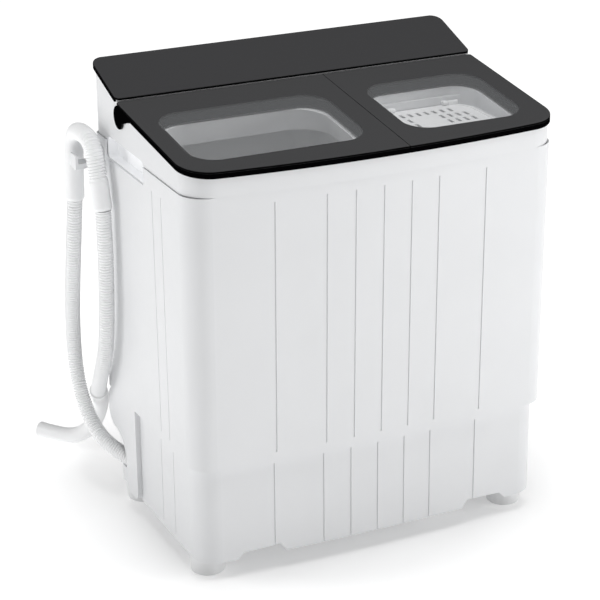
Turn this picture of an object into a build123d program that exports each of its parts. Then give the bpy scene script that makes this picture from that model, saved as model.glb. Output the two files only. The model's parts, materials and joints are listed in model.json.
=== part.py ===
from build123d import *
import math
import os

# Twin tub washer, millimetres. +Z up, front towards -Y, origin on the floor under the
# middle of the machine's own box (the hanging drain hose is not counted).

# ---- overall size ------------------------------------------------------------------
WIDTH = 730.0
DEPTH = 485.0
HEIGHT = 885.0
HALF = WIDTH / 2
FRONT = -DEPTH / 2
REAR = DEPTH / 2
WALL = 3.0
FIT = 0.5                     # gap between a cover's skirt and the moulding under it

# ---- heights -----------------------------------------------------------------------
SKIRT_Z = 39.0                # bottom edge of the base skirt
FLOOR_Z = 60.0                # underside of the base floor
FLOOR_T = 4.0
CABINET_Z = 231.0             # bottom edge of the cabinet, resting on the base
SEAM_Z = 746.0                # cabinet meets the top frame
GROOVE_LOW, GROOVE_HIGH = 249.0, 726.0

# ---- lids --------------------------------------------------------------------------
BOW = 20.0                    # the front bulges forward this much in the middle
LID_FRONT = FRONT + BOW
LID_REAR = 109.7
LID_REAR_Z = 835.3
SLOPE = 0.12                  # the lids fall towards the front
SPLIT_X = 46.2
LID_GAP = 1.2
LID_CORNER = 60.0
PLATE_T = 5.0
SKIRT_T = 3.5
SKIRT_DROP = 13.0
WINDOW_DROP = 19.0
LAND_DROP = 13.5
DECK_DROP = 24.0
WASH_WINDOW = (-326.0, -2.0, -180.0, 25.0)
SPIN_WINDOW = (86.0, 316.0, -180.0, 25.0)
WINDOW_CORNER = 45.0
HINGE_Y, HINGE_Z = 99.0, 824.0
PIN_R = 2.5
BOSS_R = 4.5
KNUCKLE_R = 6.5
RUN = 0.06                    # running clearance of a pin in its knuckle
OUTER_BOSS = (345.5, 358.5)
OUTER_KNUCKLE = (333.0, 345.0)
MID_BOSS = (41.0, 51.4)
WASH_KNUCKLE = (28.0, 40.5)
SPIN_KNUCKLE = (51.9, 64.4)

# ---- control panel -----------------------------------------------------------------
PANEL_FRONT = 110.5
PANEL_FRONT_Z = 840.5
PANEL_SLOPE = (HEIGHT - PANEL_FRONT_Z) / (REAR - PANEL_FRONT)
PANEL_T = 5.3
CONSOLE_Y = 114.0             # front wall of the console

# ---- wells, tubs and drives --------------------------------------------------------
WASH_WELL = (-326.0, -8.0, -180.0, 27.0)
WASH_WELL_Z = 763.0
SPIN_WELL = (88.0, 314.0, -180.0, 30.0)
TRAY_Z = 762.0
INNER_LID = (106.0, 298.0, -175.0, 20.0)
INNER_LID_Z = 766.0
INNER_HINGE_Y, INNER_HINGE_Z = 16.0, 774.5
INNER_PIN_R = 1.5
LEDGE_Y = 22.0                # front of the ledge behind the inner lid
WASH_TUB = (-334.0, 14.0, -192.0, 112.0)
WASH_TUB_LOW, WASH_TUB_HIGH = 350.0, 801.0
RIM_GAP = 4.0                 # between the wash tub's rim and the deck above it
TUB_WALL = 2.5
PULSATOR_AXIS = (-164.0, -40.0)
PULSATOR_R = 138.0
MOTOR_AXIS = (-164.0, 114.0)
SUMP = (-52.0, 58.0)
PULLEY_Z = 206.0
PULLEY_T = 16.0
BELT_IN, BELT_OUT = 64.5, 72.5
SMALL_BELT_IN, SMALL_BELT_OUT = 12.5, 20.5
SPIN_TUB = (72.0, 332.0, -204.0, 55.0)
SPIN_TUB_LOW = 272.0
SPIN_AXIS = (202.0, -75.0)
BASKET_R = 115.0
BASKET_LOW, BASKET_HIGH = 305.0, 756.5
PERFORATION_R = 1.9
MOUTH_R = 90.0
SHAFT_R = 9.0

# ---- grooves and grips -------------------------------------------------------------
GROOVE_X = (-207.9, -110.2, -55.0, 0.0, 55.0, 110.2, 207.9)
GROOVE_W = 2.4
GROOVE_D = 1.8
SEAM_GAP = 1.6                # shadow line where the top frame meets the cabinet
GRIP = (-12.0, 180.0, 712.0, 755.0)
GRIP_CORNER = 20.0
GRIP_FOOT = 8.0

# ---- feet --------------------------------------------------------------------------
FOOT_R = 34.0
FOOT_X = 315.0
FOOT_FRONT, FOOT_REAR = -143.0, 183.0

# ---- drain hose: centre lines, chosen by hand --------------------------------------
HOSE_R = 15.0
CROOK_R = 17.5
END_PIPE_R = 18.0
LOWER_HOSE = [
    (-347, 158, 97), (-373, 201, 110), (-389, 244, 134), (-396, 283, 170), (-398, 312, 219),
    (-398, 324, 278), (-401, 314, 344), (-406, 290, 410), (-408, 271, 477), (-406, 261, 545),
    (-402, 258, 612),
]
CROOK = [(-402, 258, 612), (-399.5, 254, 740), (-393, 166, 743), (-387, 144, 622)]
CROOK_BENDS = [40, 42]
UPPER_HOSE = [
    (-387, 144, 622), (-386, 143, 555), (-386, 147, 480), (-386, 154, 403), (-385, 171, 330),
    (-386, 205, 266), (-377, 250, 214),
]
END_PIPE = [
    (-377, 250, 214), (-359, 290, 181), (-346, 331, 146), (-341, 367, 104), (-347, 396, 65),
    (-361, 428, 38), (-376, 463, 23), (-394, 497, 18.2), (-415, 528, 18.2),
]
OUTLET_R = 14.5
OUTLET_DEPTH = 15.0


# ---- shared shapes -----------------------------------------------------------------
def lid_top(y):
    return LID_REAR_Z + SLOPE * (y - LID_REAR)


def panel_top(y):
    return PANEL_FRONT_Z + PANEL_SLOPE * (y - PANEL_FRONT)


def outline(half, front, bow, rear, front_r, rear_r):
    """Plan of the body: straight sides and rear, bowed front, rounded corners."""
    with BuildSketch() as sketch:
        with BuildLine():
            if bow > 0:
                ThreePointArc((-half, front), (0, front - bow), (half, front))
            else:
                Line((-half, front), (half, front))
            Polyline((half, front), (half, rear), (-half, rear), (-half, front))
        make_face()
        rows = sketch.vertices().group_by(Axis.Y)
        fillet(rows[0], front_r)
        fillet(sketch.vertices().group_by(Axis.Y)[-1], rear_r)
    return sketch.sketch


def rounded(area, corner, grow=0.0):
    x0, x1, y0, y1 = area
    size = (x1 - x0 + 2 * grow, y1 - y0 + 2 * grow)
    return Pos((x0 + x1) / 2, (y0 + y1) / 2) * RectangleRounded(*size, corner + grow)


def prism(sketch, z0, z1):
    return Pos(0, 0, z0) * extrude(sketch, amount=z1 - z0, dir=(0, 0, 1))


def block(x0, x1, y0, y1, z0, z1):
    centre = Pos((x0 + x1) / 2, (y0 + y1) / 2, (z0 + z1) / 2)
    return centre * Box(x1 - x0, y1 - y0, z1 - z0)


def disc(x, y, z0, z1, r, hole=0.0):
    body = Pos(x, y, (z0 + z1) / 2) * Cylinder(r, z1 - z0)
    if hole:
        body -= Pos(x, y, (z0 + z1) / 2) * Cylinder(hole, z1 - z0 + 2)
    return body


def rod_x(x0, x1, y, z, r):
    return Pos((x0 + x1) / 2, y, z) * Rot(0, 90, 0) * Cylinder(r, x1 - x0)


def rod_y(x, y0, y1, z, r):
    return Pos(x, (y0 + y1) / 2, z) * Rot(90, 0, 0) * Cylinder(r, y1 - y0)


def side_profile(points, x0, x1):
    """A (y, z) polygon extruded across the machine from x0 to x1."""
    face = make_face(Polyline(*[(x0, y, z) for y, z in points], close=True))
    return extrude(face, amount=x1 - x0, dir=(1, 0, 0))


def band(top, low, high, y0=-300.0, y1=300.0):
    """The layer between two offsets below the sloped surface top(y)."""
    points = [(y0, top(y0) + low), (y1, top(y1) + low), (y1, top(y1) + high), (y0, top(y0) + high)]
    return side_profile(points, -400, 400)


def bend_radii(points):
    radii = []
    for a, b, c in zip(points, points[1:], points[2:]):
        before = Vector(*b) - Vector(*a)
        after = Vector(*c) - Vector(*b)
        half_turn = math.radians(before.get_angle(after)) / 2
        radii.append(0.45 * min(before.length, after.length) / math.tan(half_turn))
    return radii


def path_plane(points):
    start = Vector(*points[0])
    return Plane(origin=start, z_dir=Vector(*points[1]) - start)


def pipe(points, radius, radii=None, hole=0.0):
    """A round pipe along straight runs joined by tangent arcs."""
    path = FilletPolyline(*points, radius=radii or bend_radii(points))
    plane = path_plane(points)
    body = sweep(plane * Circle(radius), path=path)
    if hole:
        body -= sweep(plane * Circle(hole), path=path)
    return body


# ---- lids --------------------------------------------------------------------------
def lid_plan(x0, x1, inset=0.0):
    whole = outline(HALF - inset, LID_FRONT + inset, BOW, LID_REAR - inset,
                    LID_CORNER - inset, 6 - inset / 2)
    width = x1 - x0 - 2 * inset
    return whole & Pos((x0 + x1) / 2, 0) * Rectangle(width, 700)


def lid_cheek(side):
    """The hooked end plate that hangs down beside the hinge."""
    x0 = min(side * HALF, side * (HALF - SKIRT_T))
    with BuildSketch(Plane.YZ.offset(x0)) as sketch:
        with BuildLine():
            ThreePointArc((106, 829), (124, 808), (104, 786.5))
            ThreePointArc((104, 786.5), (91, 789), (82, 800))
            ThreePointArc((82, 800), (68, 806), (47, 812))
            Polyline((47, 812), (47, 822), (106, 829))
        make_face()
    return extrude(sketch.sketch, amount=SKIRT_T, dir=(1, 0, 0))


def knuckle(x0, x1):
    bar = rod_x(x0, x1, HINGE_Y, HINGE_Z, KNUCKLE_R)
    web = block(x0, x1, HINGE_Y - 5, HINGE_Y + 5, HINGE_Z, HINGE_Z + 8)
    return bar + web


def lid_frame(x0, x1, window, knuckles, bosses, side):
    plate = prism(lid_plan(x0, x1), 760, 860) & band(lid_top, -PLATE_T, 0)
    plate = fillet(plate.faces().sort_by(Axis.Z)[-1].edges(), 2.0)
    skirt = prism(lid_plan(x0, x1) - lid_plan(x0, x1, SKIRT_T), 760, 860)
    collar = prism(rounded(window, WINDOW_CORNER, 4) - rounded(window, WINDOW_CORNER), 740, 860)
    body = plate + (skirt & band(lid_top, -SKIRT_DROP, -PLATE_T + 1))
    body += collar & band(lid_top, -WINDOW_DROP, -PLATE_T + 1)
    body -= prism(rounded(window, WINDOW_CORNER), 740, 880)
    body -= prism(rounded(window, WINDOW_CORNER, 5), 740, 880) & band(lid_top, -3, 8)
    under_plate = band(lid_top, -60, -PLATE_T)
    for a, b in bosses:
        body -= block(a - 0.8, b + 0.8, HINGE_Y - 6.5, 120, 790, 850) & under_plate
    for a, b in knuckles:
        body += knuckle(a, b) & band(lid_top, -60, -PLATE_T + 1)
    body += lid_cheek(side) & band(lid_top, -80, -2)
    bore = (-350, 45) if side < 0 else (45, 350)
    return body - rod_x(*bore, HINGE_Y, HINGE_Z, PIN_R + RUN)


def lid_pane(window):
    area = prism(rounded(window, WINDOW_CORNER, 4.9), 740, 880)
    return area & band(lid_top, -3, 0)


def wash_lid_frame():
    knuckles = [(-OUTER_KNUCKLE[1], -OUTER_KNUCKLE[0]), WASH_KNUCKLE]
    bosses = [(-361, -OUTER_BOSS[0]), MID_BOSS]
    return lid_frame(-HALF, SPLIT_X - LID_GAP / 2, WASH_WINDOW, knuckles, bosses, -1)


def spin_lid_frame():
    knuckles = [SPIN_KNUCKLE, OUTER_KNUCKLE]
    bosses = [MID_BOSS, (OUTER_BOSS[0], 361)]
    return lid_frame(SPLIT_X + LID_GAP / 2, HALF, SPIN_WINDOW, knuckles, bosses, 1)


def hinge_pins():
    """Three pins for the outer lids and two short ones for the inner spin lid."""
    outer = [(-357, -333.5), (28.5, 63.9), (333.5, 357)]
    inner = [(122, 150), (254, 282)]
    pins = [rod_x(a, b, HINGE_Y, HINGE_Z, PIN_R).solid() for a, b in outer]
    pins += [rod_x(a, b, INNER_HINGE_Y, INNER_HINGE_Z, INNER_PIN_R).solid() for a, b in inner]
    return Compound(pins)


def lid_bumpers():
    pads = []
    for x, y in ((-352, -120), (-352, 40), (352, -120), (352, 40)):
        pad = disc(x, y, 760, 860, 4) & band(lid_top, -LAND_DROP, -PLATE_T - 0.1)
        pads.append(pad.solid())
    return Compound(pads)


# ---- control console ---------------------------------------------------------------
def panel_plan(inset=0.0):
    return outline(HALF - inset, PANEL_FRONT, 0, REAR - inset, 10, 22 - inset)


def control_panel():
    plate = prism(panel_plan(), 800, 900) & band(panel_top, -PANEL_T, 0)
    plate = fillet(plate.faces().sort_by(Axis.Z)[-1].edges(), 2.0)
    skirt = prism(panel_plan() - panel_plan(SKIRT_T), 800, 900) & band(panel_top, -10, -PANEL_T + 1)
    return plate + (skirt & block(-400, 400, CONSOLE_Y + 4, 300, 800, 900))


def touch_board():
    board = block(-20, 300, 140, 215, 800, 900)
    return board & band(panel_top, -PANEL_T - 1.6, -PANEL_T)


def power_board():
    board = block(60, 200, 140, 215, 763, 765)
    parts = block(75, 105, 150, 180, 765, 787) + disc(135, 165, 765, 790, 11)
    parts += disc(165, 165, 765, 785, 9) + block(150, 190, 185, 205, 765, 780)
    return board + parts


def run_capacitors():
    cans = []
    for x in (230, 285):
        can = disc(x, 175, 763, 811, 19)
        can = fillet(can.edges().sort_by(Axis.Z)[-1], 3)
        cans.append((can + disc(x, 175, 811, 816, 5)).solid())
    return Compound(cans)


# ---- top frame ---------------------------------------------------------------------
def grip_outline(grow):
    """The hand recess seen from the side: wide, flat below and well rounded above."""
    y0, y1, z0, z1 = GRIP
    with BuildSketch(Plane.YZ) as sketch:
        with Locations(((y0 + y1) / 2, (z0 + z1) / 2)):
            Rectangle(y1 - y0 + 2 * grow, z1 - z0 + 2 * grow)
        rows = sketch.vertices().group_by(Axis.Y)
        fillet(rows[-1], GRIP_CORNER)
        fillet(sketch.vertices().group_by(Axis.Y)[0], GRIP_FOOT)
    return sketch.sketch


def grip_cut(side, grow=0.0, x0=330.0, x1=370.0):
    low = min(side * x0, side * x1)
    return Pos(low, 0, 0) * extrude(grip_outline(grow), amount=x1 - x0, dir=(1, 0, 0))


def hinge_boss(x0, x1):
    bar = rod_x(x0, x1, HINGE_Y, HINGE_Z, BOSS_R)
    return bar + block(x0, x1, HINGE_Y - BOSS_R, HINGE_Y + 4.0, 806, HINGE_Z)


def frame_profile():
    land = lambda y: lid_top(y) - LAND_DROP
    points = [(-300, SEAM_Z), (-300, land(-300)), (84, land(84)), (86, 812), (CONSOLE_Y, 812),
              (CONSOLE_Y, panel_top(CONSOLE_Y) - PANEL_T), (300, panel_top(300) - PANEL_T),
              (300, SEAM_Z)]
    return side_profile(points, -400, 400)


def frame_cavity():
    deck = lambda y: lid_top(y) - DECK_DROP - WALL
    points = [(-300, SEAM_Z - 6), (-300, deck(-300)), (84, 805), (CONSOLE_Y - 0.1, 805),
              (CONSOLE_Y, 760), (300, 760), (300, SEAM_Z - 6)]
    inner = prism(outline(358, LID_FRONT + 7, BOW, 235.5, 53, 17), 740, 850)
    return inner & side_profile(points, -400, 400)


def well_collar(area, corner, low):
    wall = prism(rounded(area, corner, WALL) - rounded(area, corner), low, 850)
    return wall & band(lid_top, -120, -DECK_DROP)


def top_frame():
    body = prism(outline(361, LID_FRONT + 4, BOW, 238.5, 56, 20), 740, 900) & frame_profile()
    recess = prism(outline(343, LID_FRONT + 22, BOW, 86, 40, 4), 740, 900)
    body -= recess & band(lid_top, -DECK_DROP, 60)
    body -= block(-358, 358, 84, CONSOLE_Y, 808, 900)
    body -= prism(outline(358, CONSOLE_Y + WALL, 0, 235.5, 1, 17), 763, 900)
    body -= frame_cavity()
    body -= prism(rounded(WASH_WELL, 60), 740, 850)
    body -= prism(rounded(SPIN_WELL, 45), 740, 850)
    body += well_collar(WASH_WELL, 60, WASH_WELL_Z)
    body += well_collar(SPIN_WELL, 45, TRAY_Z)
    tray = rounded(SPIN_WELL, 45, 1) - rounded(INNER_LID, 42, -4)
    body += prism(tray, TRAY_Z, TRAY_Z + WALL)
    ledge = rounded(SPIN_WELL, 45, 1) & Pos(201, LEDGE_Y + 5) * Rectangle(240, 10)
    body += prism(ledge, TRAY_Z, 785)
    bosses = [(-OUTER_BOSS[1], -OUTER_BOSS[0]), MID_BOSS, OUTER_BOSS]
    for a, b in bosses:
        body += hinge_boss(a, b) - rod_x(a - 1, b + 1, HINGE_Y, HINGE_Z, PIN_R)
    body -= rod_x(-357, -340, HINGE_Y, HINGE_Z, PIN_R) + rod_x(340, 357, HINGE_Y, HINGE_Z, PIN_R)
    shadow = outline(370, LID_FRONT - 5, BOW, 245, 56, 20) \
        - outline(359.8, LID_FRONT + 5.2, BOW, 237.3, 55, 19)
    body -= prism(shadow, SEAM_Z, SEAM_Z + SEAM_GAP)
    for side in (-1, 1):
        body -= grip_cut(side, x0=356)
    # service recess in the back of the console, for the water inlet and the cord gland
    body += block(-322, -118, 209, 238.5, 760, 820)
    body -= block(-319, -121, 212, 240, 766, 817)
    body -= rod_y(-250, 205, 215, 790, 10.0) + rod_y(-165, 205, 215, 790, 8.0)
    body -= rod_y(-250, CONSOLE_Y - 1, CONSOLE_Y + 4, 790, 10.0)
    return body


def inner_lid_lugs():
    """Two lugs on the spin well's rear ledge that carry the inner lid's pins."""
    lugs = []
    for x0 in (141, 253):
        lug = rod_x(x0, x0 + 10, INNER_HINGE_Y, INNER_HINGE_Z, 4)
        lug += block(x0, x0 + 10, INNER_HINGE_Y, LEDGE_Y, INNER_HINGE_Z - 3, INNER_HINGE_Z + 3)
        lugs.append((lug - rod_x(x0 - 1, x0 + 11, INNER_HINGE_Y, INNER_HINGE_Z, INNER_PIN_R)).solid())
    return Compound(lugs)


def inner_spin_lid():
    x0, x1, y0, y1 = INNER_LID
    body = prism(rounded(INNER_LID, 46), INNER_LID_Z, INNER_LID_Z + 4)
    rim = rounded(INNER_LID, 46) - rounded(INNER_LID, 46, -4)
    body += prism(rim, INNER_LID_Z + 4, INNER_LID_Z + 5.5) & block(x0, x1, y0, 9, 700, 800)
    for row in range(5):
        for column in range(8):
            middle = row in (1, 2, 3) and column in (1, 2, 3)
            corner = row in (0, 4) and column == 7
            if middle or corner:
                continue
            x = 151.5 + 16.8 * column
            y = -14 - 31.5 * row
            slot = Pos(x, y, INNER_LID_Z) * Box(6.5, 20, 20)
            body -= slot
    for a, b in ((120, 140), (264, 284)):
        bar = rod_x(a, b, INNER_HINGE_Y, INNER_HINGE_Z, 4)
        bar += block(a, b, INNER_HINGE_Y - 4, INNER_HINGE_Y, INNER_LID_Z + 1, INNER_HINGE_Z)
        body += bar
        body -= rod_x(a - 1, b + 1, INNER_HINGE_Y, INNER_HINGE_Z, INNER_PIN_R + RUN)
    return body


def hand_grip(side):
    cup = grip_cut(side, 2.5, 336, 358)
    return cup - grip_cut(side, 0.0, 338.5, 362)


# ---- cabinet and base --------------------------------------------------------------
def cabinet_block(inset):
    low = outline(361.5 - inset, -211 + inset, 16, 239 - inset, 45 - inset, 14 - inset)
    high = outline(363 - inset, -217.5 + inset, 18, 239 - inset, 47 - inset, 14 - inset)
    return loft([Pos(0, 0, CABINET_Z) * low, Pos(0, 0, SEAM_Z) * high])


def front_grooves(low, high):
    cuts = [block(x - GROOVE_W / 2, x + GROOVE_W / 2, -260, -150, low, high) for x in GROOVE_X]
    return cuts


def side_grooves(ys, low, high, width=1.6):
    cuts = []
    for side in (-1, 1):
        for y in ys:
            x0, x1 = sorted((side * 340, side * 370))
            cuts.append(block(x0, x1, y - width / 2, y + width / 2, low, high))
    return cuts


def cabinet_shell():
    outer, skin, inner = cabinet_block(0), cabinet_block(GROOVE_D), cabinet_block(WALL)
    body = outer - inner
    cuts = front_grooves(GROOVE_LOW, GROOVE_HIGH) + side_grooves((-49, -91), GROOVE_LOW, 714)
    skin_layer = outer - skin
    for cut in cuts:
        body -= skin_layer & cut
    flange = outline(358, -208, 16, 236, 42, 11) - outline(336, -186, 14, 214, 30, 14)
    body += prism(flange, CABINET_Z, CABINET_Z + WALL)
    body -= block(-325, 325, 230, 245, 262, 700)
    for x, z in screw_spots():
        body -= block(x - 1.95, x + 1.95, 230, 245, z - 1.95, z + 1.95)
    for side in (-1, 1):
        body -= grip_cut(side, x0=356)
    return body


def base_shell():
    outer = outline(352, -200.5, 13, 222, 45, 30)
    skin = outline(352 - GROOVE_D, -200.5 + GROOVE_D, 13, 222 - GROOVE_D, 44, 29)
    inner = outline(349, -197.5, 13, 219, 42, 27)
    body = prism(outer - inner, SKIRT_Z, CABINET_Z)
    skin_layer = prism(outer - skin, SKIRT_Z - 1, CABINET_Z)
    for cut in front_grooves(30, 221) + side_grooves((-20, -80), 50, 224):
        body -= skin_layer & cut
    body += prism(inner, FLOOR_Z, FLOOR_Z + FLOOR_T)
    # skirt notches beside the front feet
    for side in (-1, 1):
        notch = [(side * 282, 38), (side * 268, 52), (side * 196, 55), (side * 184, 38)]
        face = make_face(Polyline(*[(x, -250, z) for x, z in notch], close=True))
        body -= extrude(face, amount=80, dir=(0, 1, 0))
    # corner pocket where the drain hose leaves
    body += block(-318, -315, 149, 220.5, 62, CABINET_Z)
    body += block(-350.5, -315, 149, 152, 62, CABINET_Z)
    body -= block(-360, -318, 151.9, 230, 72, 133)
    body -= block(-360, -301.5, 190, 230, 72, 133)
    body += block(-318, -300, 187, 190, 62, 140) + block(-303, -300, 187, 220.5, 62, 140)
    body -= block(-360, -322, 116, 153, 72, 118)
    return body


def back_panel():
    body = block(-335, 335, 239, 241, 252, 710)
    for row in range(2):
        for column in range(9):
            x = -160 + 40 * column
            z = 300 + 30 * row
            body -= block(x - 14, x + 14, 238, 242, z, z + 6)
    for x, z in screw_spots():
        body -= rod_y(x, 235, 245, z, 2.1)
    return body


def screw_spots():
    rows = [(x, z) for x in (-330, -110, 110, 330) for z in (257, 705)]
    return rows + [(x, 481) for x in (-330, 330)]


def back_panel_screws():
    screws = []
    for x, z in screw_spots():
        head = rod_y(x, 241, 242.5, z, 4.5)
        head -= block(x - 3, x + 3, 242, 243, z - 0.5, z + 0.5)
        screws.append((head + rod_y(x, 236.5, 241, z, 1.9)).solid())
    return Compound(screws)


def foot(x, y):
    body = Pos(x, y, FLOOR_Z / 2) * Cone(FOOT_R - 2, FOOT_R, FLOOR_Z)
    body = fillet(body.edges().sort_by(Axis.Z)[0], 2.5)
    return body - disc(x, y, -1, 12, 20)


def feet():
    places = [(x, y) for x in (-FOOT_X, FOOT_X) for y in (FOOT_FRONT, FOOT_REAR)]
    return Compound([foot(x, y).solid() for x, y in places])


# ---- wash side ---------------------------------------------------------------------
def wash_tub():
    body = prism(rounded(WASH_TUB, 34), WASH_TUB_LOW, WASH_TUB_HIGH)
    body &= band(lid_top, -600, -DECK_DROP - WALL - RIM_GAP)
    cavity = prism(rounded(WASH_TUB, 34, -TUB_WALL), WASH_TUB_LOW + WALL, WASH_TUB_HIGH + 5)
    low_edges = cavity.faces().sort_by(Axis.Z)[0].edges()
    body -= fillet(low_edges, 24)
    x, y = PULSATOR_AXIS
    body -= disc(x, y, 340, 360, 14)
    body -= rod_y(-250, 105, 116, 790, 10.2)
    return body - disc(*SUMP, 340, 360, 20)


def drain_grille():
    x, y = SUMP
    body = disc(x, y, WASH_TUB_LOW + WALL, WASH_TUB_LOW + WALL + 5, 26)
    for k in range(5):
        body -= block(x - 16 + k * 3, x + 16 - k * 3, y - 12 + 6 * k - 1.2, y - 12 + 6 * k + 1.2,
                      350, 362)
    return body


def pulsator():
    x, y = PULSATOR_AXIS
    low = WASH_TUB_LOW + WALL + 6
    body = Pos(x, y, low + 7) * Cone(PULSATOR_R, PULSATOR_R - 12, 14)
    dome = Pos(x, y, low + 14 + 9) * Cone(70, 30, 18)
    body += dome
    for k in range(6):
        fin = Pos(-68, 0, 9) * Box(104, 13, 30)
        fin += Pos(-68, 0, 24) * Rot(0, 90, 0) * Cylinder(6.5, 104)
        fin &= Pos(0, 0, 14) * Cone(126, 62, 38)
        body += Pos(x, y, low + 4) * Rot(0, 0, 60 * k) * fin
    return body - disc(x, y, low - 2, low + 22, 8.0) - disc(x, y, low + 22, low + 40, 4.2)


def pulsator_screw():
    x, y = PULSATOR_AXIS
    top = WASH_TUB_LOW + WALL + 6 + 42
    head = disc(x, y, top, top + 5, 10)
    head -= block(x - 7, x + 7, y - 1, y + 1, top + 3, top + 6)
    return head + disc(x, y, top - 20, top, 4.0)


def gearbox_shaft():
    x, y = PULSATOR_AXIS
    return disc(x, y, 300, WASH_TUB_LOW + WALL + 28, 7.95) - disc(x, y, 372, 383, 4.05)


def gearbox_housing():
    x, y = PULSATOR_AXIS
    body = disc(x, y, 240, 350, 52)
    body += disc(x, y, 338, 350, 76)
    body = body - disc(x, y, 250, 340, 46) - disc(x, y, 330, 360, 8.03) - disc(x, y, 235, 260, 7.03)
    for k in range(8):
        rib = Pos(x, y, 331) * Rot(0, 0, 45 * k) * Pos(60, 0, 0) * Box(24, 4, 14)
        body += rib
    return body


def wash_pulley():
    x, y = PULSATOR_AXIS
    z0, z1 = PULLEY_Z, PULLEY_Z + PULLEY_T
    body = disc(x, y, z0, z1, BELT_OUT)
    groove = disc(x, y, z0 + 3, z1 - 3, BELT_OUT + 2) - disc(x, y, z0 + 2, z1 - 2, BELT_IN - FIT)
    body -= groove
    for k in range(6):
        angle = math.radians(60 * k)
        body -= disc(x + 38 * math.cos(angle), y + 38 * math.sin(angle), z0 - 1, z1 + 1, 12)
    return body + disc(x, y, z1, 290, 6.97)


def motor_pulley():
    x, y = MOTOR_AXIS
    z0, z1 = PULLEY_Z, PULLEY_Z + PULLEY_T
    body = disc(x, y, z0, z1, SMALL_BELT_OUT)
    body -= disc(x, y, z0 + 3, z1 - 3, SMALL_BELT_OUT + 2) \
        - disc(x, y, z0 + 2, z1 - 2, SMALL_BELT_IN - FIT)
    return body + disc(x, y, z1, 250, 5.97)


def belt_outline(big, small):
    with BuildSketch() as sketch:
        with BuildLine(mode=Mode.PRIVATE) as rings:
            CenterArc(PULSATOR_AXIS, big, 0, 360)
            CenterArc(MOTOR_AXIS, small, 0, 360)
        make_hull(rings.edges())
    return sketch.sketch


def drive_belt():
    ring = belt_outline(BELT_OUT, SMALL_BELT_OUT) - belt_outline(BELT_IN, SMALL_BELT_IN)
    return prism(ring, PULLEY_Z + 4, PULLEY_Z + PULLEY_T - 4)


def wash_motor():
    x, y = MOTOR_AXIS
    body = disc(x, y, 232, 336, 54)
    body = fillet(body.edges(), 6)
    for k in range(12):
        body -= Pos(x, y, 284) * Rot(0, 0, 30 * k) * Pos(54, 0, 0) * Box(4, 8, 60)
    return body - disc(x, y, 225, 252, 6.03)


def wash_motor_bracket():
    x, y = MOTOR_AXIS
    body = block(x - 70, x + 70, 62, 166, 336, 340)
    for dx in (-60, 60):
        body += disc(x + dx, 84, 340, 350, 7) + disc(x + dx, 104, 340, 350, 7)
    return body


def lint_filter_housing():
    body = block(-6, 11.5, -70, -10, 560, 712)
    body -= block(-3, 11.5, -67, -13, 563, 720)
    for k in range(7):
        body -= block(-10, 0, -62, -18, 575 + 18 * k, 583 + 18 * k)
    return body


def lint_filter():
    frame = block(-2, 10, -66, -14, 566, 722)
    frame -= block(-3, 6, -62, -18, 572, 708)
    return frame + block(-10, -2, -52, -28, 714, 722)


# ---- spin side ---------------------------------------------------------------------
def spin_outer_tub():
    body = prism(rounded(SPIN_TUB, 60), SPIN_TUB_LOW, TRAY_Z)
    body -= prism(rounded(SPIN_TUB, 60, -TUB_WALL), SPIN_TUB_LOW + WALL, TRAY_Z - WALL)
    x, y = SPIN_AXIS
    body -= disc(x, y, TRAY_Z - 6, TRAY_Z + 2, 96)
    body -= disc(x, y, SPIN_TUB_LOW - 5, SPIN_TUB_LOW + 8, 30)
    return body - disc(x - 80, y + 80, SPIN_TUB_LOW - 5, SPIN_TUB_LOW + 8, 12)


def spin_basket():
    x, y = SPIN_AXIS
    body = disc(x, y, BASKET_LOW, BASKET_HIGH, BASKET_R)
    body = fillet(body.edges().sort_by(Axis.Z)[-1], 10)
    body -= disc(x, y, BASKET_LOW + WALL, BASKET_HIGH - 24, BASKET_R - 2)
    body -= disc(x, y, BASKET_LOW + WALL, BASKET_HIGH + 1, MOUTH_R)
    body += disc(x, y, BASKET_LOW, BASKET_LOW + 26, 26)
    body -= disc(x, y, BASKET_LOW - 1, BASKET_LOW + 22, SHAFT_R)
    for row in range(5):
        for k in range(12):
            hole = Rot(0, 0, 30 * k + 15 * (row % 2)) * Pos(BASKET_R, 0, 0) * Rot(0, 90, 0)
            body -= Pos(x, y, BASKET_LOW + 60 + 70 * row) * hole * Cylinder(PERFORATION_R, 12)
    return body


def spin_shaft():
    x, y = SPIN_AXIS
    return disc(x, y, 190, BASKET_LOW + 22, SHAFT_R)


def shaft_seal():
    x, y = SPIN_AXIS
    rings = disc(x, y, 276, 282, 29.8, 13) + disc(x, y, 270, 276, 20, 9.5)
    rings += disc(x, y, 264, 270, 16, 9.5) + disc(x, y, 256, 264, 20, 9.5)
    return rings + disc(x, y, 266, 272, 38, 14)


def brake_drum():
    x, y = SPIN_AXIS
    body = disc(x, y, 222, 244, 45) - disc(x, y, 226, 250, 40)
    return body + disc(x, y, 214, 250, 16) - disc(x, y, 210, 255, SHAFT_R + 0.02)


def spin_motor():
    x, y = SPIN_AXIS
    body = disc(x, y, 104, 186, 60)
    body = fillet(body.edges(), 7)
    for k in range(12):
        body -= Pos(x, y, 145) * Rot(0, 0, 30 * k) * Pos(60, 0, 0) * Box(4, 9, 46)
    for k in range(3):
        body += Pos(x, y, 108) * Rot(0, 0, 120 * k + 90) * Pos(66, 0, 0) * Box(40, 24, 6)
    return body - disc(x, y, 170, 200, 8.6)


def spin_coupling():
    x, y = SPIN_AXIS
    body = disc(x, y, 188, 212, 18) - disc(x, y, 190, 213, SHAFT_R + 0.02)
    return body + disc(x, y, 174, 188, 8.55)


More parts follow.
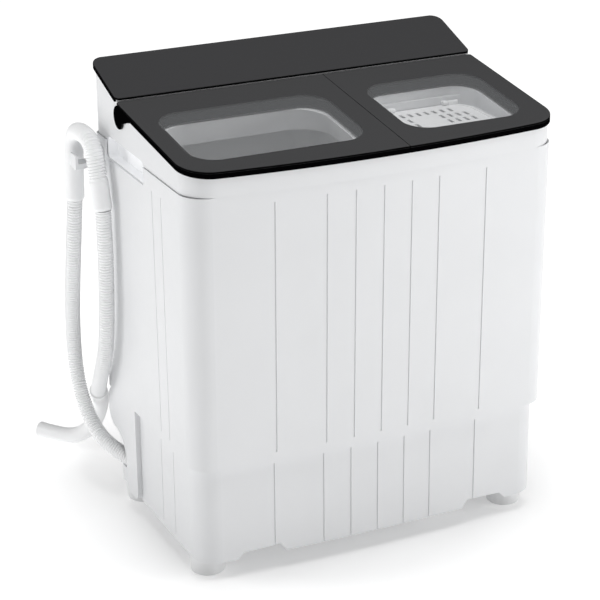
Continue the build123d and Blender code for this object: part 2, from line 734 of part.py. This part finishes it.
def spin_motor_mounts():
    mounts = []
    for k in range(3):
        angle = math.radians(120 * k + 90)
        x = SPIN_AXIS[0] + 76 * math.cos(angle)
        y = SPIN_AXIS[1] + 76 * math.sin(angle)
        mount = disc(x, y, FLOOR_Z + FLOOR_T, 70, 13)
        for step in range(4):
            mount += disc(x, y, 70 + 8 * step, 74 + 8 * step, 13)
            mount += disc(x, y, 74 + 8 * step, 78 + 8 * step, 10)
        mounts.append((mount + disc(x, y, 102, 105, 12)).solid())
    return Compound(mounts)


BRAKE_PIVOT = (258.0, -20.0)


def brake_bracket():
    px, py = BRAKE_PIVOT
    body = block(px - 14, px + 50, py - 10, py + 10, 214, 218)
    body += block(px + 30, px + 50, py - 10, py + 10, 64, 218)
    return body + disc(px, py, 218, 240, 3.0)


def brake_lever():
    px, py = BRAKE_PIVOT
    body = disc(px, py, 224, 234, 9)
    body += block(px - 5, px + 5, py - 62, py, 224, 234)
    body += block(px, px + 24, py - 5, py + 5, 224, 234)
    return body - disc(px, py, 220, 238, 3.06)


def brake_pad():
    px, py = BRAKE_PIVOT
    x, y = SPIN_AXIS
    pad = block(px - 13, px - 5, y - 12, y + 14, 225, 233)
    return pad - disc(x, y, 220, 240, 47)


# ---- drain -------------------------------------------------------------------------
PUMP_X, PUMP_Y = -262.0, 120.0


def drain_pump_motor():
    body = disc(PUMP_X, PUMP_Y, FLOOR_Z + FLOOR_T, 80, 30)
    return body + block(PUMP_X - 22, PUMP_X + 22, PUMP_Y - 40, PUMP_Y + 40, 64, 70) \
        - disc(PUMP_X, PUMP_Y, 68, 90, 3.5)


def spigot_elbow():
    """Where the outlet pipe turns to point along the first run of the hose."""
    start, after = Vector(*LOWER_HOSE[0]), Vector(*LOWER_HOSE[1])
    return start - (after - start) * 0.62


def drain_pump_body():
    elbow = spigot_elbow()
    body = disc(PUMP_X, PUMP_Y, 80, 118, 40)
    body += rod_x(-312, PUMP_X, elbow.Y, elbow.Z, 12.5) & block(-320, -200, 100, 150, 80, 110)
    body += disc(PUMP_X, PUMP_Y, 118, 134, 14)
    body -= disc(PUMP_X, PUMP_Y, 83, 115, 36)
    body -= rod_x(-314, PUMP_X, elbow.Y, elbow.Z + 3, 8)
    body -= disc(PUMP_X, PUMP_Y, 110, 136, 11)
    return body - disc(PUMP_X, PUMP_Y, 70, 90, 3.5)


def drain_impeller():
    body = disc(PUMP_X, PUMP_Y, 86, 90, 30) + disc(PUMP_X, PUMP_Y, 70, 104, 3.4)
    for k in range(6):
        body += Pos(PUMP_X, PUMP_Y, 98) * Rot(0, 0, 60 * k) * Pos(17, 0, 0) * Box(24, 2.4, 17)
    return body


def drain_spigot():
    elbow = spigot_elbow()
    points = [(-312, elbow.Y, elbow.Z), elbow.to_tuple(), LOWER_HOSE[0]]
    path = Polyline(*points)
    return sweep(path_plane(points) * Circle(12.5), path=path, transition=Transition.ROUND)


def wash_drain_pipe():
    points = [(*SUMP, 350), (*SUMP, 300), (-60, 196, 250), (-250, 196, 205),
              (PUMP_X, PUMP_Y, 185), (PUMP_X, PUMP_Y, 134)]
    return pipe(points, 13, [24, 30, 36, 28], 10.5)


def spin_drain_pipe():
    points = [(122, 5, 272), (122, 5, 250), (20, 110, 244), (-90, 150, 241), (-90, 186, 243)]
    return pipe(points, 10, [10, 60, 16], 7.5)


def drain_shroud():
    def face(i, reach):
        with BuildSketch(Plane.YZ) as sketch:
            with BuildLine():
                Polyline((91 + i, CABINET_Z - i), (91 + i, 56 + i))
                ThreePointArc((91 + i, 56 + i), (96 + i, 44 + i), (108, 39 + i))
                Polyline((108, 39 + i), (148 + reach, 39 + i), (148 + reach, 108))
                ThreePointArc((148 + reach, 108), (168 + reach, 138), (212 + reach, 152))
                ThreePointArc((212 + reach, 152), (230 + reach, 166), (236 + reach, 192))
                ThreePointArc((236 + reach, 192), (233 + reach, 215), (218, CABINET_Z - i))
                Line((218, CABINET_Z - i), (91 + i, CABINET_Z - i))
            make_face()
        return sketch.sketch
    solid = Pos(-361.5, 0, 0) * extrude(face(0, 0), amount=9.5, dir=(1, 0, 0))
    hollow = Pos(-359, 0, 0) * extrude(face(2.5, 4), amount=9, dir=(1, 0, 0))
    return solid - hollow


def lower_hose():
    return pipe(LOWER_HOSE, HOSE_R)


def upper_hose():
    return pipe(UPPER_HOSE, HOSE_R)


def hose_crook():
    return pipe(CROOK, CROOK_R, CROOK_BENDS)


def hose_end_pipe():
    end, before = Vector(*END_PIPE[-1]), Vector(*END_PIPE[-2])
    mouth = extrude(Plane(origin=end, z_dir=before - end) * Circle(OUTLET_R), amount=OUTLET_DEPTH)
    return pipe(END_PIPE, END_PIPE_R) - mouth


def hose_hanger():
    body = block(-370.5, -363.0, 190, 228, 676, 728)
    return fillet(body.edges().filter_by(Axis.X), 6)


def hose_cradle():
    body = block(-418, -370.5, 194, 224, 690, 700)
    body += block(-418, -413, 194, 224, 690, 716)
    return body


# ---- water inlet and power gland ---------------------------------------------------
def water_inlet_spigot():
    body = rod_y(-250, 212, 215, 790, 17) + rod_y(-250, 215, 236, 790, 13.2)
    body += rod_y(-250, 190, 212, 790, 9.97)
    return body - rod_y(-250, 180, 240, 790, 7)


def inlet_pipe():
    return pipe([(-250, 190, 790), (-250, 72, 790), (-250, 72, 764)], 9.97, [14], 7)


def cord_gland():
    body = rod_y(-165, 212, 214, 790, 12) + rod_y(-165, 203, 212, 790, 7.97)
    taper = Pos(-165, 224, 790) * Rot(-90, 0, 0) * Cone(9, 6.5, 20)
    return body + taper - rod_y(-165, 200, 236, 790, 3.6)


PARTS = {
    "top_frame": top_frame,
    "cabinet_shell": cabinet_shell,
    "base_shell": base_shell,
    "back_panel": back_panel,
    "back_panel_screws": back_panel_screws,
    "feet": feet,
    "hand_grip_left": lambda: hand_grip(-1),
    "hand_grip_right": lambda: hand_grip(1),
    "control_panel": control_panel,
    "touch_board": touch_board,
    "power_board": power_board,
    "run_capacitors": run_capacitors,
    "wash_lid_frame": wash_lid_frame,
    "wash_lid_window": lambda: lid_pane(WASH_WINDOW),
    "spin_lid_frame": spin_lid_frame,
    "spin_lid_window": lambda: lid_pane(SPIN_WINDOW),
    "hinge_pins": hinge_pins,
    "lid_bumpers": lid_bumpers,
    "inner_spin_lid": inner_spin_lid,
    "inner_lid_lugs": inner_lid_lugs,
    "wash_tub": wash_tub,
    "drain_grille": drain_grille,
    "pulsator": pulsator,
    "pulsator_screw": pulsator_screw,
    "gearbox_shaft": gearbox_shaft,
    "gearbox_housing": gearbox_housing,
    "wash_pulley": wash_pulley,
    "motor_pulley": motor_pulley,
    "drive_belt": drive_belt,
    "wash_motor": wash_motor,
    "wash_motor_bracket": wash_motor_bracket,
    "lint_filter_housing": lint_filter_housing,
    "lint_filter": lint_filter,
    "spin_outer_tub": spin_outer_tub,
    "spin_basket": spin_basket,
    "spin_shaft": spin_shaft,
    "shaft_seal": shaft_seal,
    "brake_drum": brake_drum,
    "brake_bracket": brake_bracket,
    "brake_lever": brake_lever,
    "brake_pad": brake_pad,
    "spin_coupling": spin_coupling,
    "spin_motor": spin_motor,
    "spin_motor_mounts": spin_motor_mounts,
    "drain_pump_motor": drain_pump_motor,
    "drain_pump_body": drain_pump_body,
    "drain_impeller": drain_impeller,
    "drain_spigot": drain_spigot,
    "wash_drain_pipe": wash_drain_pipe,
    "spin_drain_pipe": spin_drain_pipe,
    "drain_shroud": drain_shroud,
    "drain_hose_lower": lower_hose,
    "drain_hose_upper": upper_hose,
    "hose_crook": hose_crook,
    "hose_end_pipe": hose_end_pipe,
    "hose_hanger": hose_hanger,
    "hose_cradle": hose_cradle,
    "water_inlet_spigot": water_inlet_spigot,
    "inlet_pipe": inlet_pipe,
    "cord_gland": cord_gland,
}

os.makedirs("parts", exist_ok=True)
for name, make in PARTS.items():
    shape = make()
    export_step(shape, f"parts/{name}.step")
    print(name, len(shape.solids()), round(shape.volume / 1000, 1), "cm3")
for name, route in (("lower", LOWER_HOSE), ("upper", UPPER_HOSE), ("end pipe", END_PIPE)):
    print(name, "radii", [round(r) for r in bend_radii(route)])
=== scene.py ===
import json
import math

import bmesh
import bpy
from mathutils import Matrix, Vector


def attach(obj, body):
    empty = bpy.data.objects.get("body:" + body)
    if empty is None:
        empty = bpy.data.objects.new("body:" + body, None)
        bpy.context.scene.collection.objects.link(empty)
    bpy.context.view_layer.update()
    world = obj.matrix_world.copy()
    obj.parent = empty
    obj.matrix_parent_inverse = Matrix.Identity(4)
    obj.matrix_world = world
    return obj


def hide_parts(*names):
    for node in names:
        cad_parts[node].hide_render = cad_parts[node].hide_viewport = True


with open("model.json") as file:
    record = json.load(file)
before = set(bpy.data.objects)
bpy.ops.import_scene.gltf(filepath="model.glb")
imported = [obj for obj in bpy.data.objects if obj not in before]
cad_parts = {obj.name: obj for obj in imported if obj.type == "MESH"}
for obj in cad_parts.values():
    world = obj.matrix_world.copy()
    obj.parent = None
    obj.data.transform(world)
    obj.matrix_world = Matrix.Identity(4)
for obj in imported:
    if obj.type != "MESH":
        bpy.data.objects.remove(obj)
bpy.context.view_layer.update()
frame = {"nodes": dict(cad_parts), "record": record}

# ---- camera ------------------------------------------------------------------------
CAMERA_AT = (-1.5569, -3.2151, 1.8575)
CAMERA_YAW = 0.437          # looks along +Y, turned towards +X
CAMERA_PITCH = 0.381        # downwards
CAMERA_ROLL = -0.010
CAMERA_LENS = 121.9
SENSOR_WIDTH = 36.0
CLIP_END = 60.0


def add_camera():
    data = bpy.data.cameras.new("camera")
    data.lens, data.sensor_width = CAMERA_LENS, SENSOR_WIDTH
    data.dof.use_dof = False
    data.clip_end = CLIP_END
    camera = bpy.data.objects.new("camera", data)
    yaw = Matrix.Rotation(-CAMERA_YAW, 4, "Z")
    pitch = Matrix.Rotation(math.pi / 2 - CAMERA_PITCH, 4, "X")
    roll = Matrix.Rotation(CAMERA_ROLL, 4, "Z")
    camera.matrix_world = Matrix.Translation(CAMERA_AT) @ (yaw @ pitch) @ roll
    bpy.context.scene.collection.objects.link(camera)
    bpy.context.scene.camera = camera


# ---- materials ---------------------------------------------------------------------
NOISE_LOW, NOISE_HIGH = 0.3, 0.7        # most of a noise texture's values lie between these


def shade(colour, factor):
    return tuple(c * factor for c in colour)


def opaque(colour):
    return (*colour, 1.0)


class Shader:
    """A principled material and the few nodes that give it grain, wear and colour change."""

    def __init__(self, name, colour, roughness, metallic=0.0, specular=0.5):
        self.material = bpy.data.materials.new(name)
        self.material.use_nodes = True
        self.nodes = self.material.node_tree.nodes
        self.links = self.material.node_tree.links
        self.shader = self.nodes["Principled BSDF"]
        self.shader.inputs["Base Color"].default_value = opaque(colour)
        self.shader.inputs["Roughness"].default_value = roughness
        self.shader.inputs["Metallic"].default_value = metallic
        self.shader.inputs["Specular IOR Level"].default_value = specular
        self.place = self.nodes.new("ShaderNodeTexCoord").outputs["Object"]
        self.height = None

    def stretched(self, scale):
        mapping = self.nodes.new("ShaderNodeMapping")
        mapping.inputs["Scale"].default_value = scale
        self.links.new(self.place, mapping.inputs["Vector"])
        return mapping.outputs["Vector"]

    def noise(self, scale, detail, vector=None):
        node = self.nodes.new("ShaderNodeTexNoise")
        node.inputs["Scale"].default_value = scale
        node.inputs["Detail"].default_value = detail
        self.links.new(vector or self.place, node.inputs["Vector"])
        return node.outputs["Fac"]

    def remap(self, value, low, high, to_low, to_high):
        node = self.nodes.new("ShaderNodeMapRange")
        node.inputs["From Min"].default_value = low
        node.inputs["From Max"].default_value = high
        node.inputs["To Min"].default_value = to_low
        node.inputs["To Max"].default_value = to_high
        self.links.new(value, node.inputs["Value"])
        return node.outputs["Result"]

    def colour(self, factor, first, second):
        """Base colour that runs from first to second as the factor goes from 0 to 1."""
        node = self.nodes.new("ShaderNodeMix")
        node.data_type = "RGBA"
        node.inputs["A"].default_value = opaque(first)
        node.inputs["B"].default_value = opaque(second)
        self.links.new(factor, node.inputs["Factor"])
        self.links.new(node.outputs["Result"], self.shader.inputs["Base Color"])

    def mottle(self, value, first, second):
        """Base colour that varies between first and second with a texture's value."""
        self.colour(self.remap(value, NOISE_LOW, NOISE_HIGH, 0.0, 1.0), first, second)

    def rough(self, value, low, high):
        spread = self.remap(value, NOISE_LOW, NOISE_HIGH, low, high)
        self.links.new(spread, self.shader.inputs["Roughness"])

    def bump(self, value, distance, strength):
        """Adds relief to what earlier calls made; distance is its height in metres."""
        node = self.nodes.new("ShaderNodeBump")
        node.inputs["Distance"].default_value = distance
        node.inputs["Strength"].default_value = strength
        self.links.new(value, node.inputs["Height"])
        if self.height:
            self.links.new(self.height, node.inputs["Normal"])
        self.height = node.outputs["Normal"]
        self.links.new(self.height, self.shader.inputs["Normal"])


def moulded(name, colour, roughness, grain=900.0, shift=0.93):
    """Injection-moulded plastic: fine spark grain, slow waviness and slightly uneven tone."""
    s = Shader(name, colour, roughness)
    s.mottle(s.noise(scale=7.0, detail=2.0), shade(colour, shift), colour)
    s.rough(s.noise(scale=60.0, detail=4.0), roughness * 0.85, roughness * 1.15)
    s.bump(s.noise(scale=14.0, detail=1.0), distance=0.0004, strength=0.35)
    s.bump(s.noise(scale=grain, detail=2.0), distance=0.00006, strength=0.5)
    return s.material


# Near-black painted shade given to upright faces such as the lips.
PAINTED_LIP_SHADE = (0.0012, 0.0012, 0.0014)
UPRIGHT, LEVEL = 0.24, 0.9        # a face's normal, up or down: painted shade below, full colour above


def slate(name, colour):
    """Dark lid plastic: textured top and underside, with a near-black painted shade on its
    upright faces such as the lips.
    """
    s = Shader(name, colour, roughness=0.42, specular=0.0)
    coordinate = s.nodes.new("ShaderNodeTexCoord")
    split = s.nodes.new("ShaderNodeSeparateXYZ")
    s.links.new(coordinate.outputs["Normal"], split.inputs["Vector"])
    level = s.nodes.new("ShaderNodeMath")
    level.operation = "ABSOLUTE"
    s.links.new(split.outputs["Z"], level.inputs[0])
    # Painted shade: upright faces are coloured near black and level faces keep the full colour.
    s.colour(s.remap(level.outputs["Value"], UPRIGHT, LEVEL, 0.0, 1.0), PAINTED_LIP_SHADE, colour)
    s.rough(s.noise(scale=80.0, detail=4.0), 0.34, 0.48)
    s.bump(s.noise(scale=1400.0, detail=2.0), distance=0.00005, strength=0.5)
    return s.material


def clear_pane(name):
    s = Shader(name, (0.75, 0.77, 0.79), roughness=0.04)
    s.shader.inputs["Alpha"].default_value = 0.09
    s.rough(s.noise(scale=25.0, detail=3.0), 0.02, 0.05)
    s.bump(s.noise(scale=5.0, detail=1.0), distance=0.0006, strength=0.1)
    s.material.surface_render_method = "BLENDED"
    return s.material


def painted_light_moulded(name, colour, glow):
    """Plastic with painted light: it glows at the given strength though it is no lamp."""
    s = Shader(name, colour, roughness=0.4)
    s.shader.inputs["Emission Color"].default_value = opaque(colour)
    s.shader.inputs["Emission Strength"].default_value = glow
    s.rough(s.noise(scale=60.0, detail=4.0), 0.34, 0.46)
    s.bump(s.noise(scale=900.0, detail=2.0), distance=0.00006, strength=0.5)
    return s.material


def turned_metal(name, colour, roughness, stretch):
    """Bright metal with tool lines; stretch says how much they crowd along each axis."""
    s = Shader(name, colour, roughness, metallic=1.0)
    lines = s.noise(scale=90.0, detail=4.0, vector=s.stretched(stretch))
    s.mottle(lines, shade(colour, 0.8), colour)
    s.rough(lines, roughness * 0.75, roughness * 1.3)
    s.bump(lines, distance=0.00008, strength=0.6)
    return s.material


def zinc(name):
    """Galvanised sheet: small crystals that differ slightly in tone."""
    s = Shader(name, (0.6, 0.62, 0.64), roughness=0.42, metallic=0.85)
    cells = s.nodes.new("ShaderNodeTexVoronoi")
    cells.inputs["Scale"].default_value = 170.0
    s.links.new(s.place, cells.inputs["Vector"])
    grey = s.nodes.new("ShaderNodeRGBToBW")
    s.links.new(cells.outputs["Color"], grey.inputs["Color"])
    s.mottle(grey.outputs["Val"], (0.56, 0.58, 0.6), (0.62, 0.64, 0.66))
    s.rough(s.noise(scale=50.0, detail=5.0), 0.34, 0.52)
    s.bump(s.noise(scale=400.0, detail=3.0), distance=0.00006, strength=0.5)
    return s.material


def cast(name, colour):
    s = Shader(name, colour, roughness=0.5, metallic=0.9)
    grit = s.noise(scale=260.0, detail=6.0)
    s.mottle(grit, shade(colour, 0.75), colour)
    s.rough(grit, 0.42, 0.62)
    s.bump(grit, distance=0.0003, strength=0.6)
    return s.material


def painted(name, colour):
    s = Shader(name, colour, roughness=0.38)
    peel = s.noise(scale=320.0, detail=3.0)
    s.mottle(s.noise(scale=9.0, detail=3.0), shade(colour, 0.8), colour)
    s.rough(peel, 0.3, 0.46)
    s.bump(peel, distance=0.0001, strength=0.6)
    return s.material


def rubber(name, colour):
    s = Shader(name, colour, roughness=0.78, specular=0.3)
    dust = s.noise(scale=30.0, detail=6.0)
    s.mottle(dust, colour, shade(colour, 2.0))
    s.rough(dust, 0.7, 0.88)
    s.bump(s.noise(scale=700.0, detail=3.0), distance=0.0001, strength=0.6)
    return s.material


def laminate(name):
    """Circuit board: green mask with copper tracks showing through."""
    s = Shader(name, (0.02, 0.14, 0.05), roughness=0.32)
    tracks = s.nodes.new("ShaderNodeTexBrick")
    tracks.inputs["Scale"].default_value = 55.0
    tracks.inputs["Mortar Size"].default_value = 0.05
    tracks.inputs["Color1"].default_value = opaque((0.02, 0.13, 0.05))
    tracks.inputs["Color2"].default_value = opaque((0.025, 0.16, 0.06))
    tracks.inputs["Mortar"].default_value = opaque((0.05, 0.24, 0.1))
    s.links.new(s.place, tracks.inputs["Vector"])
    s.links.new(tracks.outputs["Color"], s.shader.inputs["Base Color"])
    s.bump(tracks.outputs["Fac"], distance=0.00015, strength=0.8)
    return s.material


WHITE = (0.75, 0.757, 0.768)
# How strongly the hand grips glow: painted light.
GRIP_PAINTED_LIGHT = 0.3
MATERIALS = {
    "white_gloss": moulded("white_plastic", WHITE, 0.36, shift=0.975),
    "tub_white": moulded("tub_plastic", (0.95, 0.955, 0.96), 0.45, grain=500.0),
    "panel_black": slate("panel_slate", (0.056, 0.056, 0.058)),
    "lid_slate": slate("lid_slate", (0.066, 0.0662, 0.068)),
    "smoked_window": clear_pane("window_pane"),
    "foot_grey": moulded("foot_plastic", (0.84, 0.845, 0.85), 0.5, grain=600.0),
    "hose_white": moulded("hose_plastic", (0.93, 0.935, 0.94), 0.42, grain=700.0, shift=0.97),
    "pipe_grey": moulded("pipe_plastic", (0.6, 0.61, 0.62), 0.5),
    "black_rubber": rubber("black_rubber", (0.018, 0.018, 0.019)),
    "steel": turned_metal("turned_steel", (0.62, 0.62, 0.63), 0.28, stretch=(1.0, 1.0, 40.0)),
    "zinc_sheet": zinc("zinc_sheet"),
    "motor_black": painted("motor_paint", (0.03, 0.03, 0.033)),
    "cast_aluminium": cast("cast_aluminium", (0.66, 0.67, 0.68)),
    "board_green": laminate("board_laminate"),
    "can_silver": turned_metal("drawn_can", (0.7, 0.7, 0.71), 0.3, stretch=(1.0, 1.0, 8.0)),
}


def dress_cad_nodes():
    """Every CAD node takes its record slot's material; the hand grips get painted light, a glow
    of their own.
    """
    slot_of = {row["node"]: row["material_slot"] for row in frame["record"]["subparts"]}
    for name, node in frame["nodes"].items():
        node.data.materials.clear()
        node.data.materials.append(MATERIALS[slot_of[name]])
    grip_plastic = painted_light_moulded("grip_plastic", WHITE, GRIP_PAINTED_LIGHT)
    for name in ("hand_grip_left", "hand_grip_right"):
        frame["nodes"][name].data.materials[0] = grip_plastic


# ---- drain hose --------------------------------------------------------------------
# Each run of the hose starts where the one before it ends.
LOWER_HOSE = [
    (-0.347, 0.158, 0.097), (-0.373, 0.201, 0.110), (-0.389, 0.244, 0.134),
    (-0.396, 0.283, 0.170), (-0.398, 0.312, 0.219), (-0.398, 0.324, 0.278),
    (-0.401, 0.314, 0.344), (-0.406, 0.290, 0.410), (-0.408, 0.271, 0.477),
    (-0.406, 0.261, 0.545), (-0.402, 0.258, 0.612),
]
CROOK = [
    (-0.402, 0.258, 0.612), (-0.4005, 0.256, 0.690), (-0.3995, 0.252, 0.746),
    (-0.396, 0.210, 0.756), (-0.393, 0.168, 0.746), (-0.390, 0.156, 0.690),
    (-0.387, 0.144, 0.622),
]
UPPER_HOSE = [
    (-0.387, 0.144, 0.622), (-0.386, 0.143, 0.555), (-0.386, 0.147, 0.480),
    (-0.386, 0.154, 0.403), (-0.385, 0.171, 0.330), (-0.386, 0.205, 0.266),
    (-0.377, 0.250, 0.214),
]
END_PIPE = [
    (-0.377, 0.250, 0.214), (-0.359, 0.290, 0.181), (-0.346, 0.331, 0.146),
    (-0.341, 0.367, 0.104), (-0.347, 0.396, 0.065), (-0.361, 0.428, 0.038),
    (-0.376, 0.463, 0.023), (-0.394, 0.497, 0.0182), (-0.415, 0.528, 0.0182),
]
SPLINE_STEPS = 64                  # points to each span of a route

HOSE_R = 0.0152                    # over the ridges
RIB_PITCH = 0.0055
RIB_DEPTH = 0.0023
VALLEY_SHAPE = 0.7                 # below 1, the ridges are broader than the valleys
RING_STEP = RIB_PITCH / 8
RING_POINTS = 36

CROOK_R = 0.0172
CUFF_R = 0.0188
CUFF_LIP = (-0.004, 0.006)         # where the cuff rises out of the hose, from its start
CUFF_END = (0.26, 0.36)            # shares of the crook's length
RIBS_FROM, RIBS_TO = 0.565, 0.83
RIBS_FADE_IN, RIBS_FADE_OUT = 0.02, 0.01

FRONT_CUFF_R = 0.0182
FRONT_LIP_LENGTH, FRONT_LIP_DROP = 0.002, 0.001
FRONT_TAPER_LENGTH, FRONT_TAPER_DROP = 0.006, 0.0022

END_PIPE_R = 0.0178
END_PIPE_STEP = 0.003
COLLAR_LENGTH = 0.03
COLLAR_FADE, COLLAR_DROP = 0.012, 0.0016
FLARE_LENGTH, FLARE_RISE = 0.02, 0.0008
MOUTH_DEPTH = 0.015
MOUTH_R = 0.0146
MOUTH_ROUNDING = 0.0008


def spline_points(route):
    """Points along the smooth NURBS line that has the route's points as its control points."""
    curve = bpy.data.curves.new("route", "CURVE")
    curve.dimensions = "3D"
    spline = curve.splines.new("NURBS")
    spline.points.add(len(route) - 1)
    for point, place in zip(spline.points, route):
        point.co = (*place, 1.0)
    spline.order_u = 3
    spline.use_endpoint_u = True
    spline.resolution_u = SPLINE_STEPS
    holder = bpy.data.objects.new("route", curve)
    mesh = bpy.data.meshes.new_from_object(holder)
    line = [v.co.copy() for v in mesh.vertices]
    bpy.data.objects.remove(holder)
    bpy.data.curves.remove(curve)
    bpy.data.meshes.remove(mesh)
    return line


def even_line(line, step):
    """The same line with points at even steps of about the given length, and its length."""
    total = sum((b - a).length for a, b in zip(line, line[1:]))
    count = max(2, round(total / step))
    out, along, target = [line[0].copy()], 0.0, total / count
    for a, b in zip(line, line[1:]):
        length = (b - a).length
        while length > 0 and along + length >= target - 1e-9 and len(out) < count:
            out.append(a.lerp(b, (target - along) / length))
            target += total / count
        along += length
    out.append(line[-1].copy())
    return out, total


def tube(name, line, radius_at, mouth=0.0, mouth_r=0.0):
    """A closed tube of changing radius; mouth is how deep its far end is hollow."""
    mesh = bpy.data.meshes.new(name)
    work = bmesh.new()
    side = (line[1] - line[0]).orthogonal().normalized()
    profile, along = [], 0.0
    for i, place in enumerate(line):
        before, after = line[max(i - 1, 0)], line[min(i + 1, len(line) - 1)]
        ahead = (after - before).normalized()
        along += (place - line[i - 1]).length if i else 0.0
        profile.append((place, ahead, radius_at(along)))
    if mouth:
        end, ahead, radius = profile[-1]
        rim = MOUTH_ROUNDING
        profile[-1] = (end - ahead * rim, ahead, radius)
        profile.append((end, ahead, radius - rim))
        profile.append((end, ahead, mouth_r + rim))
        profile.append((end - ahead * rim, ahead, mouth_r))
        profile.append((end - ahead * mouth, ahead, mouth_r))
    rings = []
    for place, ahead, radius in profile:
        side = (side - ahead * side.dot(ahead)).normalized()
        across = ahead.cross(side)
        ring = []
        for k in range(RING_POINTS):
            angle = 2 * math.pi * k / RING_POINTS
            out = side * math.cos(angle) + across * math.sin(angle)
            ring.append(work.verts.new(place + radius * out))
        rings.append(ring)
    for low, high in zip(rings, rings[1:]):
        for k in range(RING_POINTS):
            n = (k + 1) % RING_POINTS
            work.faces.new((low[k], low[n], high[n], high[k])).smooth = True
    work.faces.new(list(reversed(rings[0])))
    work.faces.new(rings[-1])
    work.normal_update()
    work.to_mesh(mesh)
    work.free()
    piece = bpy.data.objects.new(name, mesh)
    bpy.context.scene.collection.objects.link(piece)
    mesh.materials.append(MATERIALS["hose_white"])
    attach(piece, "machine")
    return piece


def ease(value, low, high):
    """0 below low, 1 above high and a smooth step between them."""
    t = min(1.0, max(0.0, (value - low) / (high - low)))
    return t * t * (3 - 2 * t)


def ribs(along):
    """Depth of the corrugation below the ridge at a distance along the hose."""
    wave = 0.5 + 0.5 * math.cos(2 * math.pi * along / RIB_PITCH)
    return RIB_DEPTH * (1 - wave ** VALLEY_SHAPE)


def ribbed_radius(along):
    return HOSE_R - ribs(along)


def crook_radius(total):
    """Cuff, smooth bend and a ribbed stretch, along the moulded crook."""
    def at(along):
        share = along / total
        cuff = HOSE_R + (CUFF_R - HOSE_R) * ease(along, *CUFF_LIP)
        bend = cuff + (CROOK_R - cuff) * ease(share, *CUFF_END)
        begun = ease(share, RIBS_FROM, RIBS_FROM + RIBS_FADE_IN)
        ended = ease(share, RIBS_TO - RIBS_FADE_OUT, RIBS_TO)
        return bend - ribs(along) * (begun * (1 - ended))
    return at


def front_cuff_radius(total):
    """The crook's front cuff: a small lip at its start and a taper at its end."""
    def at(along):
        lip = FRONT_LIP_DROP * (1 - ease(along, 0, FRONT_LIP_LENGTH))
        taper = FRONT_TAPER_DROP * ease(along, total - FRONT_TAPER_LENGTH, total)
        return FRONT_CUFF_R - lip - taper
    return at


def end_pipe_radius(total):
    """A collar where the pipe meets the hose and a slight flare at its mouth."""
    def at(along):
        collar = COLLAR_DROP * ease(along, COLLAR_LENGTH, COLLAR_LENGTH + COLLAR_FADE)
        flare = FLARE_RISE * ease(along, total - FLARE_LENGTH, total)
        return END_PIPE_R - collar + flare
    return at


def add_hose():
    lower, lower_length = even_line(spline_points(LOWER_HOSE), RING_STEP)
    bend, bend_length = even_line(spline_points(CROOK), RING_STEP)
    upper, upper_length = even_line(spline_points(UPPER_HOSE), RING_STEP)
    end, end_length = even_line(spline_points(END_PIPE), END_PIPE_STEP)
    split = round(len(bend) * RIBS_TO)
    cuff_line = bend[split:]
    cuff_length = (len(cuff_line) - 1) * RING_STEP
    lower_piece = tube("drain_hose_lower_ribbed", lower, ribbed_radius)
    crook = tube("hose_crook_moulded", bend[:split + 1], crook_radius(bend_length))
    cuff = tube("hose_cuff_front", cuff_line, front_cuff_radius(cuff_length))
    upper_piece = tube("drain_hose_upper_ribbed", upper, ribbed_radius)
    pipe = tube("hose_end_pipe_moulded", end, end_pipe_radius(end_length),
                mouth=MOUTH_DEPTH, mouth_r=MOUTH_R)
    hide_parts("drain_hose_lower")
    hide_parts("hose_crook")
    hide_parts("hose_crook")
    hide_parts("drain_hose_upper")
    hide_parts("hose_end_pipe")


# ---- stage -------------------------------------------------------------------------
FLOOR_REACH = 16.0
FLOOR_GREY = (0.9, 0.9, 0.9)
PURE_WHITE = (1.0, 1.0, 1.0)
NEAR, FAR = 0.3, 0.9               # metres from the machine's middle
NEAR_GLOW, FAR_GLOW = 0.2, 0.8     # the floor brightens away from the machine
WORLD_STRENGTH = 0.24
LAMPS = (
    # name, place, target, size, power
    ("overhead", (0.0, -0.6, 3.2), (0, -0.05, 0.5), 2.0, 42.0),
    ("right_front", (1.9, -1.6, 1.0), (0.36, -0.24, 0.45), 0.9, 16.0),
    ("left", (-2.4, 0.9, 1.1), (-0.36, 0, 0.5), 1.2, 16.5),
)


def add_floor():
    mesh = bpy.data.meshes.new("floor")
    corners = [(x * FLOOR_REACH, y * FLOOR_REACH, 0)
               for x, y in ((-1, -1), (1, -1), (1, 1), (-1, 1))]
    mesh.from_pydata(corners, [], [(0, 1, 2, 3)])
    floor = bpy.data.objects.new("floor", mesh)
    bpy.context.scene.collection.objects.link(floor)
    s = Shader("floor", FLOOR_GREY, roughness=0.9, specular=0.0)
    s.shader.inputs["Emission Color"].default_value = opaque(PURE_WHITE)
    distance = s.nodes.new("ShaderNodeVectorMath")
    distance.operation = "LENGTH"
    s.links.new(s.place, distance.inputs[0])
    glow = s.remap(distance.outputs["Value"], NEAR, FAR, NEAR_GLOW, FAR_GLOW)
    s.links.new(glow, s.shader.inputs["Emission Strength"])
    mesh.materials.append(s.material)


def add_area_light(name, place, target, size, power):
    data = bpy.data.lights.new(name, "AREA")
    data.shape, data.size, data.energy, data.color = "DISK", size, power, PURE_WHITE
    lamp = bpy.data.objects.new(name, data)
    lamp.location = place
    lamp.rotation_mode = "QUATERNION"
    lamp.rotation_quaternion = (Vector(target) - Vector(place)).to_track_quat("-Z", "Y")
    bpy.context.scene.collection.objects.link(lamp)


def add_light():
    world = bpy.data.worlds.new("studio")
    world.use_nodes = True
    background = world.node_tree.nodes["Background"]
    background.inputs["Color"].default_value = opaque(PURE_WHITE)
    background.inputs["Strength"].default_value = WORLD_STRENGTH
    bpy.context.scene.world = world
    for lamp in LAMPS:
        add_area_light(*lamp)
    bpy.context.scene.view_settings.view_transform = "Standard"


add_camera()
add_hose()
dress_cad_nodes()
add_floor()
add_light()
